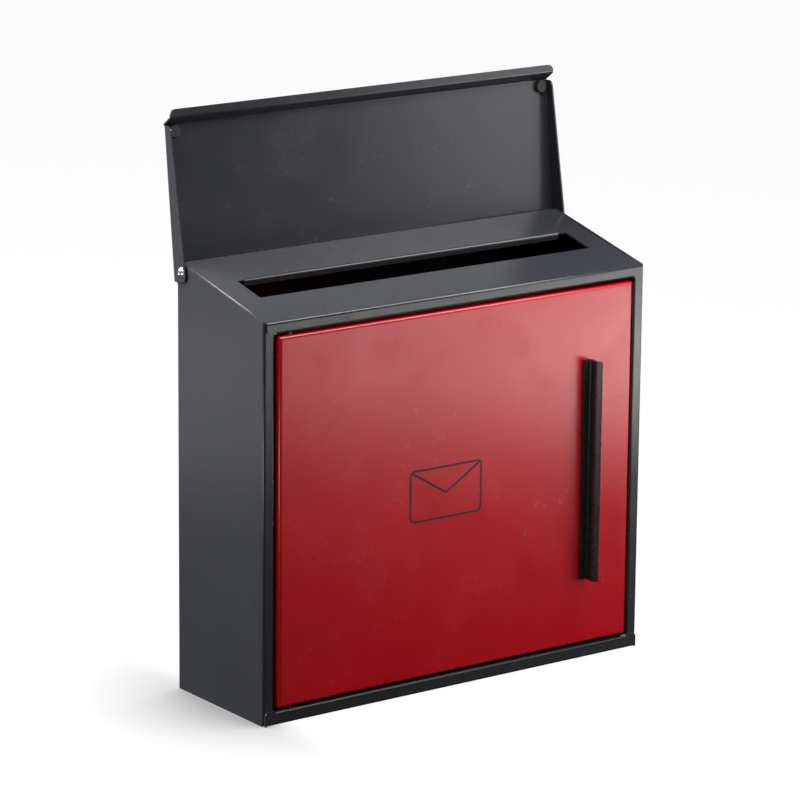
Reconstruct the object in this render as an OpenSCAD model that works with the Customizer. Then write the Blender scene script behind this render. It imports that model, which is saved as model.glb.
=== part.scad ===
// Wall letter box in folded sheet steel: a case with a sloping slotted top,
// a pan-shaped front door on vertical pivots with a rolled handle bar, and a
// flanged rain lid on two rivets, drawn standing open.
//
// Case coordinates, used inside each module: X to the right, Y to the back
// with 0 on the front frame, Z up with 0 at the foot of the case.  place()
// moves them to the part's own frame, whose origin is the middle of the four
// wall holes on the back plane.

/* [Case] */
// Outside width of the case
case_w = 346.3; // [335:0.1:355]
// Depth from the front frame to the back plane
case_d = 111.9; // [106:0.1:118]
// Height of the case at its front edge
front_h = 300; // [290:1:315]
// Height of the case at its back edge
back_h = 325.7; // [320:0.1:332]
// Thickness of the folded sheet
sheet = 1.2; // [1:0.1:1.3]
// Outside radius of the folds
fold_r = 2; // [1.8:0.1:2.2]
// Width of the frame strip on each side of the door
frame_side = 9.8; // [8:0.1:11]
// Height of the frame strips above and below the door
frame_end = 10.7; // [10:0.1:11]

/* [Slot] */
// Length of the mail slot
slot_l = 301; // [240:1:305]
// Width of the mail slot, front to back
slot_w = 30.2; // [28:0.1:34]
// Distance of the slot's front edge from the front frame
slot_y = 38.7; // [34:0.1:42]
// Depth of the tab folded down along the slot's rear edge
slot_tab = 5; // [4:0.5:8]

/* [Door] */
// How far the door stands proud of the front frame
door_proud = 3.6; // [3:0.1:4]
// Depth of the door's folded edges
door_depth = 12; // [11:0.5:12]
// Gap on the hinge side
door_gap_hinge = 1.8; // [1.6:0.1:3]
// Gap on the closing side
door_gap_close = 3.9; // [3:0.1:5]
// Gap above the door
door_gap_top = 2.1; // [1.2:0.1:2.6]
// Gap below the door
door_gap_low = 2.7; // [2:0.1:3.4]

/* [Handle] */
// Length of the handle bar
handle_l = 171; // [140:1:190]
// Thickness of the handle bar
handle_t = 2; // [1.8:0.1:2.4]
// Distance of the bar's foot from the middle of the case
handle_x = 113; // [95:0.1:116]
// Height of the middle of the bar
handle_z = 149.6; // [140:0.1:160]

/* [Lid] */
// Outside width of the lid
lid_w = 349.7; // [349:0.1:353]
// Length of the lid from the rivets to its front fold
lid_l = 107.5; // [104:0.1:110]
// Length of the folded step in front
lid_step = 10.4; // [9:0.1:12.5]
// Length of the finger lip in front of the step
lid_lip = 5.5; // [5:0.5:8]
// Lean of the open lid behind the vertical
lid_lean = 6.26; // [4:0.01:7]
// Diameter of the rubber bumpers
bumper_d = 9.4; // [8:0.1:10.8]

/* [Wall holes] */
// Spacing of the wall holes, side to side
hole_dx = 240; // [160:5:280]
// Spacing of the wall holes, up and down
hole_dz = 200; // [120:5:220]
// Height of the middle of the wall holes above the foot
hole_mid = 160; // [150:1:170]
// Diameter of the wall holes
hole_d = 6; // [5:0.5:8]

/* [Hidden] */
$fn = 64;

coat = "#4b4b4f";
red = "#a83236";
black = "#2b2b2d";

slope = atan((back_h - front_h) / case_d);
bend = fold_r - sheet / 2;              // radius of a fold's middle line
hw = case_w / 2;
in_x = hw - sheet;                      // inner face of the side walls
open_x = hw - frame_side;               // half width of the door opening
open_top = front_h - 9;               // lower edge of the frame above the door
open_low = frame_end;                   // upper edge of the frame below the door
ledge_y = 9.5;                          // depth of the folded frame ledges
pan_x = in_x - 0.1;                     // half width of the top and bottom panels
strip_x = hw - 2.3;                     // half width of the top panel's front strip

back_r = 4.8;                           // outside radius of the top panel's rear fold
back_seam = 314;                        // upper edge of the back wall, under that fold

// slot limits measured along the slope
slot_s0 = slot_y;
slot_s1 = slot_y + slot_w;

// hinge of the lid
hinge_y = case_d - 8;
hinge_drop = 6.1;                       // rivets below the sloping top
hinge_z = front_h + hinge_y * tan(slope) - hinge_drop;
rivet_d = 4;
lid_in = lid_w / 2 - sheet;
lid_z = 10.7;                           // outer face of the lid above the rivets
top_z = hinge_drop * cos(slope);             // face of the top panel above the rivets
step_a = 59.7;                          // fold angle of the step
lid_tail = 12.75;                       // lid behind the rivets

// door
dx0 = -open_x + door_gap_hinge;
dx1 = open_x - door_gap_close;
dz0 = open_low + door_gap_low;
dz1 = open_top - door_gap_top;
dy0 = -door_proud;
dy1 = door_depth - door_proud;
pivot_x = dx0 + 10.4;
pivot_y = 3.2;
pin_d = 4;

// magnetic catch
catch_z = 150;

function unit(v) = v / norm(v);
function turn(a, b, c) = acos(max(-1, min(1, unit(b - a) * unit(c - b))));
function side(a, b, c) = let (u = b - a, v = c - b) (u[0] * v[1] - u[1] * v[0] > 0) ? 1 : -1;

// Section of a folded strip of t thickness: p is its middle line and r the
// radius of that line in the folds
module folded(p, t, r) {
    n = len(p);
    d = [for (i = [0 : n - 2]) unit(p[i + 1] - p[i])];
    q = [for (u = d) [-u[1], u[0]]];
    edge = [for (i = [0 : n - 1]) i == 0 ? q[0] : i == n - 1 ? q[n - 2] : (q[i - 1] + q[i]) / (1 + q[i - 1] * q[i])];
    r0 = r - t / 2;
    r1 = r + t / 2;
    difference() {
        union() {
            polygon(concat([for (i = [0 : n - 1]) p[i] + edge[i] * t / 2],
                           [for (i = [n - 1 : -1 : 0]) p[i] - edge[i] * t / 2]));
            for (i = [1 : n - 2]) {
                w = turn(p[i - 1], p[i], p[i + 1]);
                s = side(p[i - 1], p[i], p[i + 1]);
                m = p[i] - d[i - 1] * r * tan(w / 2) + s * r * q[i - 1];
                b = unit(p[i] - m);
                translate(m) difference() {
                    polygon([[0, 0], -s * q[i - 1] * (r0 + 0.35 * t), b * (r0 / cos(w / 2) + 0.35 * t), -s * q[i] * (r0 + 0.35 * t)]);
                    circle(r0);
                }
            }
        }
        for (i = [1 : n - 2]) {
            w = turn(p[i - 1], p[i], p[i + 1]);
            s = side(p[i - 1], p[i], p[i + 1]);
            m = p[i] - d[i - 1] * r * tan(w / 2) + s * r * q[i - 1];
            b = unit(p[i] - m);
            translate(m) difference() {
                polygon([[0, 0], -s * q[i - 1] * (r1 + 0.5), b * (r1 / cos(w / 2) + 0.6), -s * q[i] * (r1 + 0.5)]);
                circle(r1);
            }
        }
    }
}

// Outline of a rolled strip on one side of its middle line, h away from it
function rolled_edge(p, r, h) = let (n = len(p)) concat([p[0] + h * [-unit(p[1] - p[0])[1], unit(p[1] - p[0])[0]]],
    [for (i = [1 : n - 2]) let (w = turn(p[i - 1], p[i], p[i + 1]), s = side(p[i - 1], p[i], p[i + 1]),
        u = unit(p[i] - p[i - 1]), m = p[i] - u * r[i - 1] * tan(w / 2) + s * r[i - 1] * [-u[1], u[0]],
        k = ceil(w / 6)) for (j = [0 : k]) let (a = atan2(-s * u[0], s * u[1]) + s * w * j / k)
        m + (r[i - 1] - s * h) * [cos(a), sin(a)]],
    [p[n - 1] + h * [-unit(p[n - 1] - p[n - 2])[1], unit(p[n - 1] - p[n - 2])[0]]]);
module rolled(p, t, r) {
    b = rolled_edge(p, r, -t / 2);
    polygon(concat(rolled_edge(p, r, t / 2), [for (i = [len(b) - 1 : -1 : 0]) b[i]]));
}

// Polygon whose corner i is rounded with radius r[i]
module rounded(p, r) {
    n = len(p);
    difference() {
        polygon(p);
        for (i = [0 : n - 1]) if (r[i] > 0) {
            a = p[(i + n - 1) % n];
            b = p[i];
            c = p[(i + 1) % n];
            u = unit(a - b);
            v = unit(c - b);
            half = acos(u * v) / 2;
            m = b + unit(u + v) * r[i] / sin(half);
            t0 = b + u * r[i] / tan(half);
            t1 = b + v * r[i] / tan(half);
            difference() {
                polygon([m, m + 1.3 * (t0 - m), m + 1.6 * (b - m), m + 1.3 * (t1 - m)]);
                translate(m) circle(r[i]);
            }
        }
    }
}

module place() translate([0, -case_d, -hole_mid]) children();
// section drawn in (Y, Z), drawn out to both sides of X = 0
module along_x(w) rotate([90, 0, 90]) linear_extrude(w, center = true) children();
// section drawn in (X, Z), drawn out along Y from y0 to y1
module along_y(y0, y1) translate([0, y1, 0]) rotate([90, 0, 0]) linear_extrude(y1 - y0) children();
module block(a, b) translate(a) cube(b - a);
module drill_x(x0, x1, y, z, d) translate([x0, y, z]) rotate([0, 90, 0]) cylinder(h = x1 - x0, d = d);
module drill_y(x, y0, y1, z, d) translate([x, y0, z]) rotate([-90, 0, 0]) cylinder(h = y1 - y0, d = d);
// coordinates along the sloping top: Y along the slope, Z at right angles
module on_slope() translate([0, 0, front_h]) rotate([slope, 0, 0]) children();
module both() {
    children();
    mirror([1, 0, 0]) children();
}

// ---------------------------------------------------------------- case
// what the rounding takes off the rear top edge of the walls
module rear_corner() {
    half = (90 - slope) / 2;
    b = [case_d, back_h];
    u = [-cos(slope), -sin(slope)];
    m = b + unit(u + [0, -1]) * back_r / sin(half);
    t0 = b + u * back_r / tan(half);
    t1 = b - [0, back_r / tan(half)];
    along_x(case_w + 20) difference() {
        polygon([m, m + 1.3 * (t0 - m), m + 1.6 * (b - m), m + 1.3 * (t1 - m)]);
        translate(m) circle(back_r);
    }
}

module case_shell() color(coat) place() difference() {
    linear_extrude(back_h + 4)
        folded([[-open_x - sheet / 2, 11], [-open_x - sheet / 2, sheet / 2],
                [-hw + sheet / 2, sheet / 2], [-hw + sheet / 2, case_d - sheet / 2],
                [hw - sheet / 2, case_d - sheet / 2], [hw - sheet / 2, sheet / 2],
                [open_x + sheet / 2, sheet / 2], [open_x + sheet / 2, 11]], sheet, bend);
    // sloping top edges of the walls
    on_slope() block([-hw - 5, -20, 0], [hw + 5, case_d + 30, 30]);
    // lower top edges under the top panel
    on_slope() block([-hw + 2.2, -20, -sheet], [hw - 2.2, case_d - 8, 30]);
    on_slope() block([-hw + 2.2, -20, -sheet - 1], [hw - 2.2, 13, 30]);
    // back wall ends under the top panel's rear fold
    block([-hw - 1, case_d - 2.3, back_seam], [hw + 1, case_d + 1, back_h + 9]);
    // rounded rear corners of the walls, clear of the lid as it swings
    rear_corner();
    // frame strips end above the bottom panel's fold
    block([-hw - 1, -1, -1], [hw + 1, 2.1, 2.05]);
    block([-open_x - 3, -1, -1], [open_x + 3, 12, 2.05]);
    for (x = [-hole_dx / 2, hole_dx / 2], z = [-hole_dz / 2, hole_dz / 2])
        drill_y(x, case_d - 3, case_d + 3, hole_mid + z, hole_d);
    for (s = [-1, 1])
        drill_x(s > 0 ? hw - 3 : -hw - 3, s > 0 ? hw + 3 : -hw + 3, hinge_y, hinge_z, rivet_d);
}

module top_panel() color(coat) place() {
    t = sheet;
    s_end = 102;
    flange_s0 = 16;
    flange_s1 = 92;
    yf = -t / 2;
    zf = front_h + yf * tan(slope) - t / 2 / cos(slope);
    y1 = 20;
    z1 = front_h + y1 * tan(slope) - t / 2 / cos(slope);
    difference() {
        union() {
            // sloping panel with the slot
            on_slope() difference() {
                block([-pan_x, 3, -t], [pan_x, s_end, 0]);
                both() block([pan_x - fold_r, flange_s0, -5], [pan_x + 5, flange_s1, 5]);
                block([-slot_l / 2, slot_s0, -5], [slot_l / 2, slot_s1, 5]);
                block([-slot_l / 2 + 6.6, slot_s0 + 1, -5], [slot_l / 2 - 6.6, slot_s1 + fold_r, 5]);
            }
            // folded sides, welded inside the walls
            on_slope() both() along_y(flange_s0, flange_s1)
                folded([[pan_x - fold_r - 0.5, -t / 2], [pan_x - t / 2, -t / 2], [pan_x - t / 2, -10]], t, bend);
            // tab along the rear edge of the slot
            on_slope() along_x(slot_l - 13.2)
                folded([[slot_s1 + fold_r + 0.5, -t / 2], [slot_s1 + t / 2, -t / 2],
                        [slot_s1 + t / 2, -slot_tab]], t, bend);
            // rear fold down to the back wall
            along_x(2 * pan_x - 0.6)
                folded([[97, front_h + 97 * tan(slope) - t / 2 / cos(slope)],
                        [case_d - t / 2, back_h - t / 2 * tan(slope) - t / 2 / cos(slope)],
                        [case_d - t / 2, back_seam + 0.15]], t, back_r - t / 2);
            // front fold over the frame
            along_x(2 * strip_x) folded([[y1, z1], [yf, zf], [yf, open_top + 4.2]], t, bend);
            // front strip with rounded lower corners
            along_y(-t, 0) difference() {
                rounded([[-strip_x, open_top + 6], [-strip_x, open_top], [strip_x, open_top], [strip_x, open_top + 6]],
                        [0, 4, 4, 0]);
                translate([-open_x + 0.3, open_top - 1]) square([2 * open_x - 0.6, 1 + fold_r]);
            }
            // ledge over the door
            along_x(2 * open_x - 0.6)
                folded([[-t / 2, open_top + 3], [-t / 2, open_top + t / 2], [ledge_y, open_top + t / 2]], t, bend);
        }
        // the slope panel's front part ends at the slot
        on_slope() block([-slot_l / 2, slot_s0, -5], [slot_l / 2, slot_s0 + 10, 5]);
        translate([pivot_x, pivot_y, open_top - 2]) cylinder(h = 6, d = pin_d + 0.15);
    }
}

module bottom_panel() color(coat) place() difference() {
    t = sheet;
    union() {
        difference() {
            block([-pan_x, 3, 0], [pan_x, case_d - 1.3 * t - 0.2, t]);
            both() block([pan_x - fold_r, 14, -1], [pan_x + 5, 100, 5]);
            block([-165, case_d - t - 0.1 - fold_r, -1], [165, case_d, 5]);
        }
        both() along_y(14, 100)
            folded([[pan_x - fold_r - 0.5, t / 2], [pan_x - t / 2, t / 2], [pan_x - t / 2, 9]], t, bend);
        along_x(330) folded([[case_d - t - 0.6 - fold_r, t / 2], [case_d - 1.5 * t - 0.1, t / 2],
                             [case_d - 1.5 * t - 0.1, 9]], t, bend);
        // lower front fold
        along_x(2 * strip_x) folded([[5, t / 2], [-t / 2, t / 2], [-t / 2, 4]], t, bend);
        // front strip with rounded upper corners
        along_y(-t, 0) difference() {
            rounded([[-hw + 0.9, 0], [hw - 0.9, 0], [hw - 0.9, open_low], [-hw + 0.9, open_low]], [0.8, 0.8, 3, 3]);
            translate([-open_x + 0.3, open_low - fold_r]) square([2 * open_x - 0.6, 1 + fold_r]);
            translate([-strip_x, -1]) square([2 * strip_x, 1 + fold_r]);
        }
        // ledge under the door
        along_x(2 * open_x - 0.6)
            folded([[-t / 2, open_low - 3], [-t / 2, open_low - t / 2], [ledge_y, open_low - t / 2]], t, bend);
    }
    translate([pivot_x, pivot_y, open_low - 4]) cylinder(h = 6, d = pin_d + 0.15);
    // drain holes
    for (x = [-110, 110]) translate([x, 62, -1]) cylinder(h = 4, d = 5);
}

// ---------------------------------------------------------------- lid
module blind_rivet(s) translate([0, hinge_y, hinge_z]) rotate([0, s * 90, 0]) difference() {
    head = 1.9;
    head_r = 4;
    cap_r = (head_r * head_r + head * head) / (2 * head);
    x0 = lid_w / 2 + 0.05;
    union() {
        translate([0, 0, in_x - 1.5]) cylinder(h = 1.5, d = 6.4);
        translate([0, 0, in_x]) cylinder(h = x0 - in_x, d = rivet_d);
        intersection() {
            translate([0, 0, x0]) cylinder(h = head, r = head_r);
            translate([0, 0, x0 + head - cap_r]) sphere(cap_r, $fn = 96);
        }
    }
    translate([0, 0, x0 + head - 0.7]) cylinder(h = 2, d = 2.2);
}

module hinge_rivet_left() color("#c9cacc") place() blind_rivet(-1);
module hinge_rivet_right() color("#c9cacc") place() blind_rivet(1);

module hinge_washer(s) translate([0, hinge_y, hinge_z]) rotate([0, s * 90, 0]) difference() {
    translate([0, 0, hw]) cylinder(h = 0.4, d = 9);
    translate([0, 0, hw - 1]) cylinder(h = 3, d = rivet_d);
}
module hinge_washer_left() color(black) place() hinge_washer(-1);
module hinge_washer_right() color(black) place() hinge_washer(1);

// the lid is drawn closed on the rivet axis, then swung open
module lid_open() translate([0, hinge_y, hinge_z]) rotate([-90 - lid_lean, 0, 0]) children();

module lid() color(coat) place() lid_open() difference() {
    t = sheet;
    lw = lid_w / 2;
    f = [cos(step_a), sin(step_a)];
    c1 = [-lid_l, lid_z];
    c2 = c1 - lid_step * f;
    k = t / 2 * tan(step_a / 2);
    m1 = c1 + [k, -t / 2];
    m2 = c2 + [k, -t / 2];
    m3 = [c2[0] - lid_lip, m2[1]];
    front = m1[0] + bend * tan(step_a / 2) + 0.25;   // where the folded front begins
    side_d = 16;                                      // depth of the side flanges at the rivets
    front_d = 8.5;                                    // and at the front
    tail_y = 7.3;
    fz = function(y) lid_z - side_d + (front_d - side_d) * y / lid_l;
    union() {
        // flat panel with a clipped tail
        translate([0, 0, lid_z - t]) linear_extrude(t)
            polygon([[-lw + fold_r, tail_y], [-lw + fold_r + 4.5, lid_tail], [lw - fold_r - 4.5, lid_tail],
                     [lw - fold_r, tail_y], [lw - fold_r, front], [-lw + fold_r, front]]);
        // step and finger lip
        difference() {
            along_x(lid_w) folded([[front, m1[1]], m1, m2, m3], t, bend);
            for (s = [-1, 1]) translate([s * lw, m3[0], -3]) linear_extrude(6)
                difference() {
                    translate([s > 0 ? -4.5 : -1, -1]) square(5.5);
                    translate([-s * 4.5, 4.5]) circle(4.5);
                }
        }
        // side folds and side flanges
        both() along_y(front, tail_y)
            folded([[lw - fold_r - 0.02, lid_z - t / 2], [lw - t / 2, lid_z - t / 2], [lw - t / 2, lid_z - fold_r - 0.02]], t, bend);
        for (s = [-1, 1]) translate([s > 0 ? lw - t : -lw, 0, 0]) rotate([90, 0, 90]) linear_extrude(t)
            rounded([[front, lid_z - fold_r], [front, fz(front)], [tail_y, fz(tail_y)], [tail_y, lid_z - fold_r]],
                    [0, 4.5, 5, 0]);
    }
    drill_x(-lid_w, lid_w, 0, 0, rivet_d + 0.15);
}

module lid_bumper(s) lid_open() translate([s * 167.8, -101.6, 0]) {
    h = lid_z - sheet - top_z - 0.06;
    z0 = lid_z - sheet - h;
    rotate_extrude($fn = 64) polygon([[0, z0], [bumper_d / 2 - 0.5, z0], [bumper_d / 2, z0 + 0.5],
                            [bumper_d / 2, z0 + h], [0, z0 + h]]);
}
module lid_bumper_left() color(black) place() lid_bumper(-1);
module lid_bumper_right() color(black) place() lid_bumper(1);

// ---------------------------------------------------------------- door
// open pan with rounded folds; g is the inset of the surface
module pan_body(g) {
    r = fold_r - g;
    intersection() {
        translate([0, 0, dz0 + g]) linear_extrude(dz1 - dz0 - 2 * g)
            rounded([[dx0 + g, dy0 + g], [dx1 - g, dy0 + g], [dx1 - g, dy1 + g], [dx0 + g, dy1 + g]], [r, r, 0, 0]);
        translate([(dx0 + dx1) / 2, 0, 0]) along_x(dx1 - dx0)
            rounded([[dy0 + g, dz0 + g], [dy1 + g, dz0 + g], [dy1 + g, dz1 - g], [dy0 + g, dz1 - g]], [r, 0, 0, r]);
    }
}

module door_panel() color(red) place() difference() {
    t = sheet;
    union() {
        difference() {
            pan_body(0);
            pan_body(t);
            block([dx1 - 2.6, dy1 - fold_r - 0.6, dz0 + 10], [dx1 + 1, dy1 + 1, dz1 - 10]);
        }
        // second fold of the closing edge, which the catch holds
        translate([0, 0, dz0 + 10]) linear_extrude(dz1 - dz0 - 20)
            folded([[dx1 - 18.4, dy1 - t / 2], [dx1 - t / 2, dy1 - t / 2], [dx1 - t / 2, dy1 - fold_r - 0.6]], t, bend);
    }
    translate([pivot_x, pivot_y, dz0 - 1]) cylinder(h = 4, d = pin_d);
    translate([pivot_x, pivot_y, dz1 - 3]) cylinder(h = 4, d = pin_d);
    for (s = [-1, 1]) drill_y(handle_x + 2.1, dy0 - 1, dy0 + 4, handle_z + s * 70, 2.4);
}

module handle() color(black) place() difference() {
    y0 = dy0 - handle_t / 2;
    translate([0, 0, handle_z - handle_l / 2]) linear_extrude(handle_l)
        rolled([[handle_x, y0], [handle_x + 7.1, y0], [handle_x + 4.9, y0 - 9], [handle_x + 7.4, y0 - 13.2]],
               handle_t, [2, 6]);
    for (s = [-1, 1]) drill_y(handle_x + 2.1, dy0 - 1.5, dy0 + 1, handle_z + s * 70, 2.4);
}

module handle_screws() color("#b9babd") place()
    for (s = [-1, 1]) translate([handle_x + 2.1, 0, handle_z + s * 70]) difference() {
        union() {
            drill_y(0, dy0 - 1.5, dy0 + sheet, 0, 2.4);
            drill_y(0, dy0 + sheet, dy0 + sheet + 1.6, 0, 4.8);
        }
        translate([-0.4, dy0 + sheet + 0.8, -2]) cube([0.8, 2, 4]);
        translate([-2, dy0 + sheet + 0.8, -0.4]) cube([4, 2, 0.8]);
    }

// pivot pin with its head inside the door, drawn pointing up from z = 0
module pivot_pin(len) {
    translate([0, 0, -1.5]) cylinder(h = 1.5, d = 7);
    cylinder(h = len - 0.5, d = pin_d);
    translate([0, 0, len - 0.5]) cylinder(h = 0.5, d1 = pin_d, d2 = pin_d - 1);
}
module door_pin_top() color("#b9babd") place()
    translate([pivot_x, pivot_y, dz1 - sheet]) pivot_pin(door_gap_top + 2 * sheet + 1.6);
module door_pin_bottom() color("#b9babd") place()
    translate([pivot_x, pivot_y, dz0 + sheet]) mirror([0, 0, 1]) pivot_pin(door_gap_low + 2 * sheet + 1.6);

module door_washer(z, h) translate([pivot_x, pivot_y, z]) difference() {
    cylinder(h = h, d = 7.6);
    translate([0, 0, -1]) cylinder(h = h + 2, d = pin_d + 0.2);
}
module door_washer_top() color(black) place() door_washer(dz1 + 0.1, door_gap_top - 0.1);
module door_washer_bottom() color(black) place() door_washer(open_low, door_gap_low - 0.06);

// ---------------------------------------------------------------- catch
catch_y = dy1 + 0.15;                   // front of the pole plates
module catch_bracket() color("#9a9ca0") place() difference() {
    translate([0, 0, catch_z - 22]) linear_extrude(44)
        rolled([[in_x - sheet / 2, 13], [in_x - sheet / 2, 24.6], [145, 24.6]], sheet, [bend]);
    for (s = [-1, 1]) drill_y(151, 20, 30, catch_z + s * 14, 3.2);
}

module catch_housing() color(black) place() difference() {
    union() {
        block([144.6, 11.4, catch_z - 20], [167.6, 24, catch_z + 20]);
        block([145.4, 9.2, catch_z - 19], [156.6, 11.5, catch_z + 19]);
    }
    block([147, 5, catch_z - 17], [155, 20, catch_z + 17]);
    for (s = [-1, 1]) drill_y(151, 20.9, 26, catch_z + s * 14, 2.9);
}

module catch_magnet() color("#3a3a3c") place() block([148.5, 9.8, catch_z - 16], [153.5, 20, catch_z + 16]);

module catch_pole_plates() color("#b9babd") place() {
    block([147, catch_y, catch_z - 17], [148.5, 20, catch_z + 17]);
    block([153.5, catch_y, catch_z - 17], [155, 20, catch_z + 17]);
}

module catch_screws() color("#b9babd") place()
    for (s = [-1, 1]) difference() {
        union() {
            drill_y(151, 20.9, 25.2, catch_z + s * 14, 2.9);
            drill_y(151, 25.2, 26.9, catch_z + s * 14, 5.6);
        }
        translate([150.6, 26, catch_z + s * 14 - 2]) cube([0.8, 2, 4]);
        translate([149, 26, catch_z + s * 14 - 0.4]) cube([4, 2, 0.8]);
    }

case_shell();
top_panel();
bottom_panel();
hinge_rivet_left();
hinge_rivet_right();
hinge_washer_left();
hinge_washer_right();
lid();
lid_bumper_left();
lid_bumper_right();
door_panel();
handle();
handle_screws();
door_pin_top();
door_pin_bottom();
door_washer_top();
door_washer_bottom();
catch_bracket();
catch_housing();
catch_magnet();
catch_pole_plates();
catch_screws();
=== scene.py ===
import math

import bpy
import bmesh
from mathutils import Matrix, Vector

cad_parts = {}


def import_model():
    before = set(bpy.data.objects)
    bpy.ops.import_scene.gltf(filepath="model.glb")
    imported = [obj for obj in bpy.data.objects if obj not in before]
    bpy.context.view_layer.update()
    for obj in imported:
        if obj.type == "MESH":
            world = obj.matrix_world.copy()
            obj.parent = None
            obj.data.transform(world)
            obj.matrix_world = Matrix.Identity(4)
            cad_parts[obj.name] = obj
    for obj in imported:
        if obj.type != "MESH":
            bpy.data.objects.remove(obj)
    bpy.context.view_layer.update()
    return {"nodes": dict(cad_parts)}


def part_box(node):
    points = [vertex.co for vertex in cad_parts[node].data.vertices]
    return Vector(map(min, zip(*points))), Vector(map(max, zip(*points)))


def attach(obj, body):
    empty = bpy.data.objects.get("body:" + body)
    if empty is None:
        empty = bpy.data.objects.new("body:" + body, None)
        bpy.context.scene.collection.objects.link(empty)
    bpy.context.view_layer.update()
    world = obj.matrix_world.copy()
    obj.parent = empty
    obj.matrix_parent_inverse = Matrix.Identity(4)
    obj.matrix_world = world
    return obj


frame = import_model()
nodes = frame["nodes"]
scene = bpy.context.scene
FOOT_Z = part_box("bottom_panel")[0].z


# ------------------------------------------------------------ node helpers
class Tree:
    """Builds a material's nodes with short calls."""

    def __init__(self, name):
        self.m = bpy.data.materials.new(name)
        self.m.use_nodes = True
        self.t = self.m.node_tree
        self.t.nodes.clear()
        self.out = self.t.nodes.new("ShaderNodeOutputMaterial")
        self.bsdf = self.t.nodes.new("ShaderNodeBsdfPrincipled")
        self.t.links.new(self.bsdf.outputs[0], self.out.inputs["Surface"])
        self.co = self.t.nodes.new("ShaderNodeTexCoord").outputs["Object"]

    def link(self, a, b):
        self.t.links.new(a, b)

    def noise(self, scale, detail=2.0, rough=0.5, at=None):
        n = self.t.nodes.new("ShaderNodeTexNoise")
        n.inputs["Scale"].default_value = scale
        n.inputs["Detail"].default_value = detail
        n.inputs["Roughness"].default_value = rough
        self.link(at or self.co, n.inputs["Vector"])
        return n.outputs["Fac"]

    def stretch(self, x, y, z):
        n = self.t.nodes.new("ShaderNodeMapping")
        n.inputs["Scale"].default_value = (x, y, z)
        self.link(self.co, n.inputs["Vector"])
        return n.outputs["Vector"]

    def ramp(self, fac, *stops):
        n = self.t.nodes.new("ShaderNodeMapRange")
        n.inputs["From Min"].default_value = stops[0]
        n.inputs["From Max"].default_value = stops[1]
        n.inputs["To Min"].default_value = stops[2]
        n.inputs["To Max"].default_value = stops[3]
        n.clamp = True
        self.link(fac, n.inputs["Value"])
        return n.outputs["Result"]

    def math(self, op, a, b):
        n = self.t.nodes.new("ShaderNodeMath")
        n.operation = op
        n.use_clamp = op in ("ADD", "SUBTRACT")
        for i, v in enumerate((a, b)):
            if isinstance(v, (int, float)):
                n.inputs[i].default_value = v
            else:
                self.link(v, n.inputs[i])
        return n.outputs[0]

    def mix(self, fac, a, b):
        n = self.t.nodes.new("ShaderNodeMix")
        n.data_type = "RGBA"
        if isinstance(fac, (int, float)):
            n.inputs["Factor"].default_value = fac
        else:
            self.link(fac, n.inputs["Factor"])
        for i, v in ((6, a), (7, b)):
            if isinstance(v, tuple):
                n.inputs[i].default_value = (*v, 1.0)
            else:
                self.link(v, n.inputs[i])
        return n.outputs[2]

    def edge(self, radius):
        """1 on sharp edges and folds, 0 on flat faces."""
        b = self.t.nodes.new("ShaderNodeBevel")
        b.samples = 6
        b.inputs["Radius"].default_value = radius
        g = self.t.nodes.new("ShaderNodeNewGeometry")
        d = self.t.nodes.new("ShaderNodeVectorMath")
        d.operation = "DOT_PRODUCT"
        self.link(b.outputs["Normal"], d.inputs[0])
        self.link(g.outputs["Normal"], d.inputs[1])
        return self.ramp(d.outputs["Value"], 0.985, 0.80, 0.0, 1.0)

    def bump(self, height, strength, distance, below=None):
        n = self.t.nodes.new("ShaderNodeBump")
        n.inputs["Strength"].default_value = strength
        n.inputs["Distance"].default_value = distance
        self.link(height, n.inputs["Height"])
        if below is not None:
            self.link(below, n.inputs["Normal"])
        return n.outputs["Normal"]

    def set(self, **values):
        for k, v in values.items():
            s = self.bsdf.inputs[k.replace("_", " ")]
            if isinstance(v, (int, float)):
                s.default_value = v
            elif isinstance(v, tuple):
                s.default_value = (*v, 1.0)
            else:
                self.link(v, s)
        return self


def srgb(r, g, b):
    def f(c):
        c = c / 255
        return c / 12.92 if c <= 0.04045 else ((c + 0.055) / 1.055) ** 2.4
    return (f(r), f(g), f(b))


def scaled(c, k):
    return tuple(min(1.0, x * k) for x in c)


def powder_coat(name, base, worn_and_sheen, rough, spec, texture=1.0, specks=0.0):
    """Baked powder coat: fine pebbled skin, slow waves in the sheet, cloudy colour, folds painted paler, partly
    as edge wear and partly as a painted highlight.
    """
    m = Tree(name)
    cloud = m.noise(9.0, 3.0, 0.55)
    mottle = m.noise(160.0, 3.0, 0.6)
    grain = m.noise(1300.0, 2.0, 0.6)
    pebble = m.noise(3200.0, 2.0, 0.5)
    colour = m.mix(m.ramp(cloud, 0.3, 0.7, 0.0, 1.0), scaled(base, 0.93), scaled(base, 1.06))
    colour = m.mix(m.ramp(mottle, 0.35, 0.65, 0.0, 0.18), colour, scaled(base, 1.12))
    if specks:
        colour = m.mix(m.ramp(grain, 0.62, 0.70, 0.0, specks), colour, worn_and_sheen)
    # paler folds and edges: partly edge wear, partly a painted highlight where light catches the folds
    wear_and_fold_sheen = m.math("MULTIPLY", m.edge(0.0007), m.ramp(m.noise(55.0, 4.0, 0.65), 0.42, 0.70, 0.08, 0.40))
    colour = m.mix(wear_and_fold_sheen, colour, worn_and_sheen)
    waves = m.bump(m.noise(11.0, 1.0, 0.4), 0.05, 0.0006)
    skin = m.bump(grain, 0.08 * texture, 0.00010, waves)
    skin = m.bump(pebble, 0.07 * texture, 0.00004, skin)
    r = m.ramp(m.noise(38.0, 3.0, 0.6), 0.3, 0.7, rough - 0.03, rough + 0.035)
    r = m.math("SUBTRACT", r, m.math("MULTIPLY", wear_and_fold_sheen, 0.06))
    m.set(Base_Color=colour, Roughness=r, Normal=skin, Metallic=0.0)
    m.set(Specular_IOR_Level=spec, IOR=1.5)
    return m.m


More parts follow.
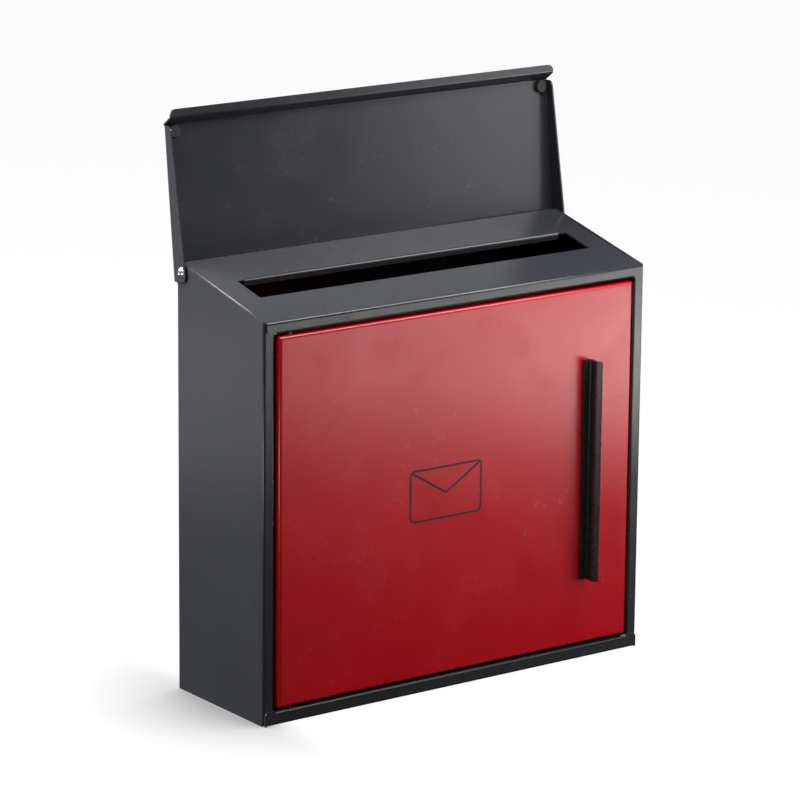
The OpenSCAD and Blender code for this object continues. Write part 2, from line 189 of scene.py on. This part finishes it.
def bright_steel(name, tint, rough):
    m = Tree(name)
    turned = m.noise(1400.0, 3.0, 0.6, m.stretch(0.12, 1.0, 1.0))
    stain = m.noise(180.0, 3.0, 0.6)
    edge = m.edge(0.0003)
    colour = m.mix(m.ramp(stain, 0.35, 0.75, 0.0, 1.0), scaled(tint, 1.05), scaled(tint, 0.84))
    # painted glint: every edge is mixed towards a brighter steel tint
    colour = m.mix(m.math("MULTIPLY", edge, 0.5), colour, scaled(tint, 1.2))
    m.set(Base_Color=colour, Metallic=1.0,
          Roughness=m.ramp(turned, 0.3, 0.7, rough - 0.05, rough + 0.08),
          Normal=m.bump(turned, 0.10, 0.00005))
    return m.m


def dull_plastic(name, base, rough, bump=1.0):
    m = Tree(name)
    cloud = m.noise(120.0, 3.0, 0.6)
    fine = m.noise(2600.0, 2.0, 0.5)
    edge = m.edge(0.0005)
    colour = m.mix(m.ramp(cloud, 0.3, 0.7, 0.0, 1.0), scaled(base, 0.85), scaled(base, 1.12))
    # painted highlight: every edge is mixed towards a paler colour
    colour = m.mix(m.math("MULTIPLY", edge, 0.35), colour, tuple(min(1, c * 1.6 + 0.01) for c in base))
    m.set(Base_Color=colour, Roughness=m.ramp(cloud, 0.3, 0.7, rough - 0.04, rough + 0.05),
          Normal=m.bump(fine, 0.16 * bump, 0.00008), Metallic=0.0)
    m.set(Specular_IOR_Level=0.4)
    return m.m


CASE = powder_coat("case_coat", (0.029, 0.030, 0.035), (0.060, 0.061, 0.068), 0.25, 0.50, 1.0, 0.02)
DOOR = powder_coat("door_coat", (0.51, 0.0020, 0.010), (0.60, 0.030, 0.040), 0.25, 0.50, 0.8)
BAR = powder_coat("bar_coat", (0.022, 0.020, 0.021), (0.042, 0.040, 0.041), 0.27, 0.50, 0.8, 0.03)
STEEL = bright_steel("steel", (0.80, 0.80, 0.81), 0.24)
RUBBER = dull_plastic("rubber", srgb(34, 32, 34), 0.62, 1.3)
NYLON = dull_plastic("nylon", srgb(34, 34, 36), 0.46)
PLASTIC = dull_plastic("catch_plastic", srgb(40, 40, 43), 0.48)
FERRITE = dull_plastic("ferrite", srgb(52, 50, 52), 0.66, 1.6)
INK = dull_plastic("door_print", srgb(24, 14, 17), 0.46, 0.6)

FINISH = {
    "case_shell": CASE, "top_panel": CASE, "bottom_panel": CASE, "lid": CASE,
    "door_panel": DOOR, "handle": BAR,
    "hinge_rivet_left": STEEL, "hinge_rivet_right": STEEL, "handle_screws": STEEL,
    "door_pin_top": STEEL, "door_pin_bottom": STEEL, "catch_bracket": STEEL,
    "catch_pole_plates": STEEL, "catch_screws": STEEL,
    "lid_bumper_left": RUBBER, "lid_bumper_right": RUBBER,
    "hinge_washer_left": NYLON, "hinge_washer_right": NYLON,
    "door_washer_top": NYLON, "door_washer_bottom": NYLON,
    "catch_housing": PLASTIC, "catch_magnet": FERRITE,
}
# width of the eased edges, in millimetres
EASE = {"case_shell": 0.22, "top_panel": 0.22, "bottom_panel": 0.22, "lid": 0.22, "door_panel": 0.25,
        "handle": 0.35, "catch_housing": 0.3, "catch_bracket": 0.15, "catch_magnet": 0.12,
        "catch_pole_plates": 0.12}

for name, material in FINISH.items():
    o = nodes[name]
    o.data.materials.clear()
    o.data.materials.append(material)
    w = o.modifiers.new("weld", "WELD")
    w.merge_threshold = 0.000002
    if name in EASE:
        b = o.modifiers.new("ease", "BEVEL")
        b.width = EASE[name] / 1000
        b.segments = 2
        b.limit_method = "ANGLE"
        b.angle_limit = math.radians(38)
        b.use_clamp_overlap = True
        b.harden_normals = False
        b.miter_outer = "MITER_ARC"


# ------------------------------------------------------------ sign on the door
def envelope(name, cx, cz, w, h, line, y, thick, material):
    """A plain line drawing of an envelope, printed on the door."""
    hw, hh, r = w / 2, h / 2, h * 0.10
    drop = h * 0.50

    def arc(x, z, rad, a0, a1, n=8):
        return [(x + rad * math.cos(a0 + (a1 - a0) * i / n), z + rad * math.sin(a0 + (a1 - a0) * i / n))
                for i in range(n + 1)]

    def rect(g):
        q = max(r - g, 0.0002)
        x, z = hw - g, hh - g
        return (arc(x - q, -z + q, q, -math.pi / 2, 0) + arc(x - q, z - q, q, 0, math.pi / 2)
                + arc(-x + q, z - q, q, math.pi / 2, math.pi) + arc(-x + q, -z + q, q, math.pi, 1.5 * math.pi))

    outer = rect(0.0)
    x, z = hw - line, hh - line
    k = drop / hw                                      # fall of the flap's edges
    n = math.hypot(1, k) * line / 2
    top = [(-x + (n + 0.0001) / k, z), (0.0, z - x * k + n), (x - (n + 0.0001) / k, z)]
    low = [(-x, z - n - 0.0001), (-x, -z + r * 0.6), (-x + r * 0.6, -z), (x - r * 0.6, -z), (x, -z + r * 0.6),
           (x, z - n - 0.0001), (0.0, z - x * k - n)]
    curve = bpy.data.curves.new(name, "CURVE")
    curve.dimensions = "2D"
    curve.fill_mode = "BOTH"
    curve.extrude = thick / 2
    for loop in (outer, top, low):
        s = curve.splines.new("POLY")
        s.points.add(len(loop) - 1)
        for p, (a, c) in zip(s.points, loop):
            p.co = (a, c, 0, 1)
        s.use_cyclic_u = True
    tmp = bpy.data.objects.new(name + "_c", curve)
    scene.collection.objects.link(tmp)
    bpy.context.view_layer.update()
    dg = bpy.context.evaluated_depsgraph_get()
    mesh = bpy.data.meshes.new_from_object(tmp.evaluated_get(dg))
    bpy.data.objects.remove(tmp)
    mesh.name = name
    o = bpy.data.objects.new(name, mesh)
    # drawn in X, Z and standing on the door's face
    mesh.transform(Matrix(((1, 0, 0, cx), (0, 0, -1, y), (0, 1, 0, cz), (0, 0, 0, 1))))
    bm = bmesh.new()
    bm.from_mesh(mesh)
    bmesh.ops.remove_doubles(bm, verts=bm.verts, dist=1e-6)
    bmesh.ops.recalc_face_normals(bm, faces=bm.faces)
    bm.to_mesh(mesh)
    bm.free()
    mesh.materials.clear()
    mesh.materials.append(material)
    scene.collection.objects.link(o)
    return o


door_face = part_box("door_panel")[0].y
sign = envelope("door_sign", -0.0134, -0.007, 0.066, 0.040, 0.0015, door_face - 0.00002, 0.00012, INK)
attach(sign, "door")


# ------------------------------------------------------------ floor
def ground():
    mesh = bpy.data.meshes.new("floor")
    bm = bmesh.new()
    bmesh.ops.create_grid(bm, x_segments=8, y_segments=8, size=14.0)
    bm.to_mesh(mesh)
    bm.free()
    o = bpy.data.objects.new("floor", mesh)
    o.location = (0, 0, FOOT_Z - 0.0002)
    scene.collection.objects.link(o)
    m = Tree("floor")
    seen = m.t.nodes.new("ShaderNodeLightPath").outputs["Is Camera Ray"]
    # soft shade on the floor along the left wall
    near = m.t.nodes.new("ShaderNodeAmbientOcclusion")
    near.samples = 16
    near.inputs["Distance"].default_value = 0.11
    sep = m.t.nodes.new("ShaderNodeSeparateXYZ")
    m.link(m.co, sep.inputs[0])
    left = m.ramp(sep.outputs["X"], -0.150, -0.176, 0.0, 1.0)
    shade = m.math("MULTIPLY", m.ramp(near.outputs["AO"], 0.35, 1.0, 0.85, 0.0), left)
    light = m.math("SUBTRACT", 1.0, shade)
    soft = m.noise(3.0, 2.0)
    pale = m.mix(m.ramp(soft, 0.3, 0.7, 0.0, 1.0), (0.040, 0.040, 0.040), (0.045, 0.045, 0.045))
    m.set(Base_Color=m.mix(seen, (0.03, 0.03, 0.03), pale), Roughness=0.9, Metallic=0.0)
    glow = m.math("MULTIPLY", m.math("MULTIPLY", seen, light), 0.96)
    m.set(Specular_IOR_Level=0.0, Emission_Color=(1.0, 1.0, 1.0), Emission_Strength=glow)
    o.data.materials.append(m.m)
    return o


ground()


# ------------------------------------------------------------ light
def world():
    w = bpy.data.worlds.new("studio")
    scene.world = w
    w.use_nodes = True
    bg = w.node_tree.nodes["Background"]
    bg.inputs["Color"].default_value = (1.0, 1.0, 1.0, 1.0)
    bg.inputs["Strength"].default_value = 0.01


def softbox(name, turn, far, aside, up, w, h, glow, down=False):
    """A soft panel: far from the box in the direction turn (from the front, to the right), up above the foot."""
    a = math.radians(turn)
    out = Vector((math.sin(a), -math.cos(a), 0.0))
    along = Vector((math.cos(a), math.sin(a), 0.0))
    at = out * far + along * aside + Vector((0.0, -0.05, FOOT_Z + up))
    d = bpy.data.lights.new(name, "AREA")
    d.shape = "RECTANGLE"
    d.size, d.size_y = w, h
    d.energy = glow * math.pi * w * h
    o = bpy.data.objects.new(name, d)
    scene.collection.objects.link(o)
    o.location = at
    o.rotation_mode = "QUATERNION"
    o.rotation_quaternion = (Vector((0, 0, -1)) if down else -out).to_track_quat("-Z", "Y")
    return o


world()
softbox("key_low_left", 40, 0.85, -0.15, 0.075, 0.30, 0.15, 4.0)
softbox("key_low", 40, 0.85, 0.15, 0.075, 0.30, 0.15, 7.5)
softbox("key_low_right", 40, 0.85, 0.45, 0.225, 0.30, 0.15, 8.0)
softbox("key_mid", 40, 0.85, 0.15, 0.45, 0.30, 0.30, 2.0)
softbox("key_up", 40, 0.85, 0.15, 0.75, 0.30, 0.30, 3.4)
softbox("left", -75, 1.30, 0.00, 1.25, 0.80, 0.80, 2.4)
softbox("left_near", -80, 0.85, 0.00, 0.08, 0.40, 0.16, 6.2)
softbox("back_left", -145, 1.30, 0.35, 1.05, 0.70, 0.70, 24.1)
softbox("back_left_low", -145, 1.30, 0.35, 0.35, 0.70, 0.70, 0.40)
softbox("wall_low", -145, 0.70, 0.155, 0.08, 0.36, 0.15, 0.55)
softbox("back_left_top", -145, 1.30, 0.00, 1.80, 1.40, 0.80, 4.8)
softbox("over_back_left", -131, 1.063, 0.00, 1.60, 0.80, 0.80, 18.1, down=True)
softbox("over_door", 0, 0.33, 0.10, 0.85, 0.40, 0.30, 10.6, down=True)
softbox("over_right", 50, 0.45, 0.05, 0.70, 0.30, 0.30, 9.8, down=True)


# ------------------------------------------------------------ camera
def camera():
    d = bpy.data.cameras.new("camera")
    d.sensor_fit = "HORIZONTAL"
    d.sensor_width = 36.0
    d.lens = 190.48966
    d.shift_y = -0.0217838
    d.clip_start, d.clip_end = 0.1, 60
    o = bpy.data.objects.new("camera", d)
    scene.collection.objects.link(o)
    right = Vector((0.8081671, -0.5888828, 0.0091158))
    down = Vector((-0.1365443, -0.2024012, -0.9697368))
    ahead = Vector((0.5729063, 0.7824646, -0.2439826))
    m = Matrix((right, -down, -ahead)).transposed().to_4x4()
    m.translation = Vector((-1.812171, -2.513856, 0.829263))
    o.matrix_world = m
    scene.camera = o


camera()
scene.view_settings.view_transform = "Standard"
scene.view_settings.look = "None"
scene.view_settings.exposure = 0.0
scene.view_settings.gamma = 1.0
